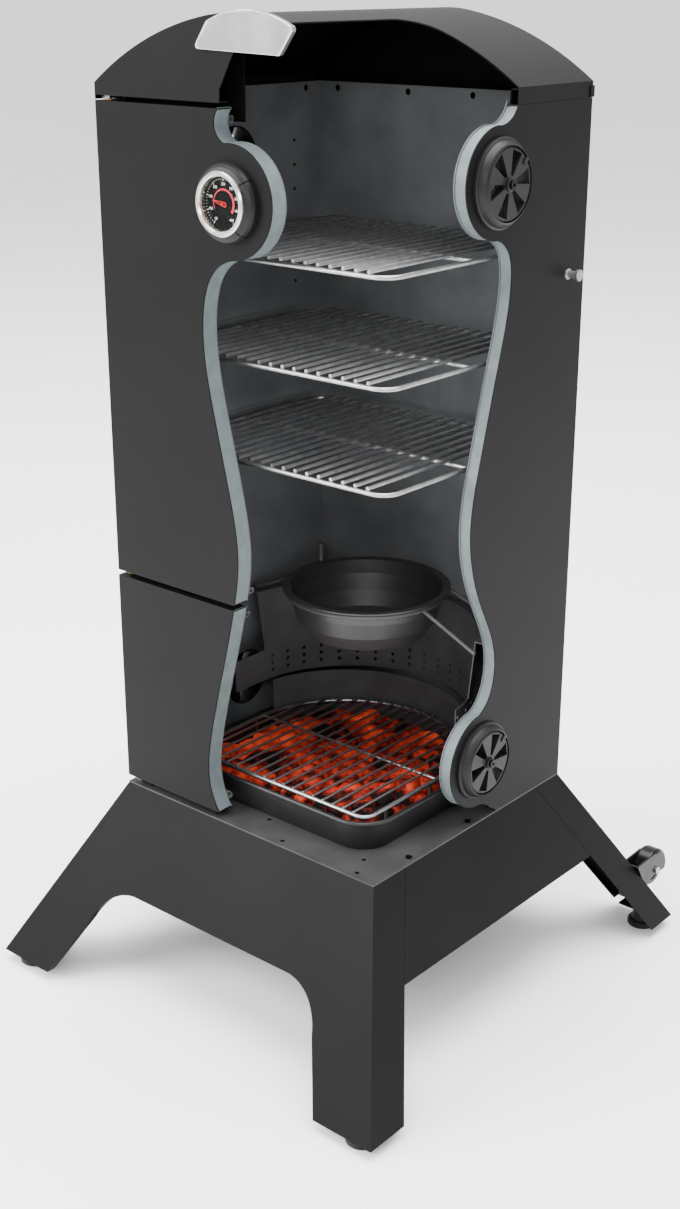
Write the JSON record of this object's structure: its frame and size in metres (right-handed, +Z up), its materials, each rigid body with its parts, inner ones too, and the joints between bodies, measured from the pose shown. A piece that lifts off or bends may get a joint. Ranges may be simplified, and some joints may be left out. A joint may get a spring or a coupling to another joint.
{
  "type": "cabinet smoker",
  "caption": "Tall charcoal cabinet smoker on a flared leg base, cut open at one corner to show wire racks, water bowl, tray and grate.",
  "frame": {"origin": "middle of the footprint, on the floor", "axes": "+X to the right side wall, -Y out through the doors, +Z up"},
  "size_m": [0.66, 0.7214, 1.2518],
  "materials": {
    "painted_steel": "satin black-grey powder coat",
    "liner_steel": "satin grey heat-proof coat",
    "stove_enamel": "semi-matt dark enamel",
    "bowl_enamel": "grey speckled enamel",
    "chrome_wire": "bright plated wire",
    "charcoal": "glowing charcoal, ash grey in the cracks",
    "black_plastic": "satin moulded heat-proof plastic",
    "foot_plastic": "matt moulded plastic",
    "wheel_plastic": "gloss moulded plastic",
    "zinc_steel": "zinc plated",
    "brass": "turned brass",
    "seal_rubber": "soft silicone bulb seal",
    "badge_metal": "satin, blank",
    "gauge_bezel": "fine brushed",
    "gauge_face": null,
    "gauge_glass": "clear",
    "needle_paint": "satin red"
  },
  "bodies": {
    "cabinet": {"back_outer_skin": "painted_steel", "badge_plate": "badge_metal", "base_front_frame": "painted_steel", "base_rear_frame": "painted_steel", "base_side_panels": "painted_steel", "base_top_plate": "painted_steel", "bowl_cradle": "stove_enamel", "bowl_plate": "stove_enamel", "damper_bolts": "zinc_steel", "damper_housings": "black_plastic", "front_header": "painted_steel", "hinge_plates": "zinc_steel", "inner_liner": "liner_steel", "left_outer_skin": "painted_steel", "perforated_band": "stove_enamel", "plate_screws": "zinc_steel", "rack_rails": "liner_steel", "right_liner": "liner_steel", "right_outer_skin": "painted_steel", "roof_back_fascia": "painted_steel", "roof_front_fascia": "painted_steel", "roof_rails": "painted_steel", "roof_sheet": "painted_steel", "side_peg": "zinc_steel", "side_peg_cap": "chrome_wire", "wheel_axles": "zinc_steel", "wheel_brackets": "black_plastic"},
    "upper_door": {"upper_door_skin": "painted_steel", "upper_door_liner": "liner_steel", "upper_door_seals": "seal_rubber", "upper_door_bushes": "brass", "thermometer_housing": "black_plastic", "thermometer_bezel": "gauge_bezel", "thermometer_dial": "gauge_face", "thermometer_lens": "gauge_glass", "thermometer_stem": "zinc_steel", "thermometer_nut": "zinc_steel"},
    "lower_door": {"lower_door_skin": "painted_steel", "lower_door_liner": "liner_steel", "lower_door_seals": "seal_rubber", "lower_door_bushes": "brass"},
    "gauge_needle": {"thermometer_needle": "needle_paint"},
    "damper_upper_left": {"damper_rotor_upper_left": "black_plastic"},
    "damper_upper_right": {"damper_rotor_upper_right": "black_plastic"},
    "damper_lower_left": {"damper_rotor_lower_left": "black_plastic"},
    "damper_lower_right": {"damper_rotor_lower_right": "black_plastic"},
    "rack_1": {"cooking_rack_1": "chrome_wire"},
    "rack_2": {"cooking_rack_2": "chrome_wire"},
    "rack_3": {"cooking_rack_3": "chrome_wire"},
    "tray": {"charcoal_tray": "stove_enamel", "charcoal_bed": "charcoal", "fire_shield": "stove_enamel"},
    "grate": {"charcoal_grate": "chrome_wire"},
    "bowl": {"water_bowl": "bowl_enamel"},
    "front_left_foot": {"foot_front_left": "foot_plastic"},
    "front_right_foot": {"foot_front_right": "foot_plastic"},
    "rear_left_foot": {"foot_rear_left": "foot_plastic"},
    "rear_right_foot": {"foot_rear_right": "foot_plastic"},
    "left_wheel": {"wheel_left": "wheel_plastic"},
    "right_wheel": {"wheel_right": "wheel_plastic"}
  },
  "joints": [
    {"name": "upper_door_swing", "type": "hinge", "parent": "cabinet", "child": "upper_door", "pos_m": [-0.207, -0.20275, 0.56], "axis": [0, 0, -1], "range_deg": [0, 105]},
    {"name": "lower_door_swing", "type": "hinge", "parent": "cabinet", "child": "lower_door", "pos_m": [-0.207, -0.20275, 0.27], "axis": [0, 0, -1], "range_deg": [0, 105]},
    {"name": "needle_turn", "type": "hinge", "parent": "upper_door", "child": "gauge_needle", "pos_m": [0, -0.22935, 1.048], "axis": [0, -1, 0], "range_deg": [0, 235]},
    {"name": "damper_upper_left_turn", "type": "hinge", "parent": "cabinet", "child": "damper_upper_left", "pos_m": [-0.226, -0.00375, 1.066], "axis": [-1, 0, 0], "range_deg": [0, 30]},
    {"name": "damper_upper_right_turn", "type": "hinge", "parent": "cabinet", "child": "damper_upper_right", "pos_m": [0.226, -0.00375, 1.066], "axis": [1, 0, 0], "range_deg": [0, 30]},
    {"name": "damper_lower_left_turn", "type": "hinge", "parent": "cabinet", "child": "damper_lower_left", "pos_m": [-0.226, -0.00375, 0.348], "axis": [-1, 0, 0], "range_deg": [0, 30]},
    {"name": "damper_lower_right_turn", "type": "hinge", "parent": "cabinet", "child": "damper_lower_right", "pos_m": [0.226, -0.00375, 0.348], "axis": [1, 0, 0], "range_deg": [0, 30]},
    {"name": "rack_1_slide", "type": "slide", "parent": "cabinet", "child": "rack_1", "axis": [0, -1, 0], "range_m": [0, 0.018]},
    {"name": "rack_2_slide", "type": "slide", "parent": "cabinet", "child": "rack_2", "axis": [0, -1, 0], "range_m": [0, 0.018]},
    {"name": "rack_3_slide", "type": "slide", "parent": "cabinet", "child": "rack_3", "axis": [0, -1, 0], "range_m": [0, 0.018]},
    {"name": "tray_slide", "type": "slide", "parent": "cabinet", "child": "tray", "axis": [0, -1, 0], "range_m": [0, 0.007]},
    {"name": "grate_lift", "type": "slide", "parent": "tray", "child": "grate", "axis": [0, 0, 1], "range_m": [0, 0.06]},
    {"name": "bowl_lift", "type": "slide", "parent": "cabinet", "child": "bowl", "axis": [0, 0, 1], "range_m": [0, 0.15]},
    {"name": "front_left_foot_screw", "type": "slide", "parent": "cabinet", "child": "front_left_foot", "axis": [0, 0, -1], "range_m": [0, 0.008]},
    {"name": "front_right_foot_screw", "type": "slide", "parent": "cabinet", "child": "front_right_foot", "axis": [0, 0, -1], "range_m": [0, 0.008]},
    {"name": "rear_left_foot_screw", "type": "slide", "parent": "cabinet", "child": "rear_left_foot", "axis": [0, 0, -1], "range_m": [0, 0.008]},
    {"name": "rear_right_foot_screw", "type": "slide", "parent": "cabinet", "child": "rear_right_foot", "axis": [0, 0, -1], "range_m": [0, 0.008]},
    {"name": "left_wheel_spin", "type": "hinge", "parent": "cabinet", "child": "left_wheel", "pos_m": [-0.282, 0.33025, 0.072], "axis": [1, 0, 0], "continuous": true},
    {"name": "right_wheel_spin", "type": "hinge", "parent": "cabinet", "child": "right_wheel", "pos_m": [0.282, 0.33025, 0.072], "axis": [1, 0, 0], "continuous": true}
  ]
}
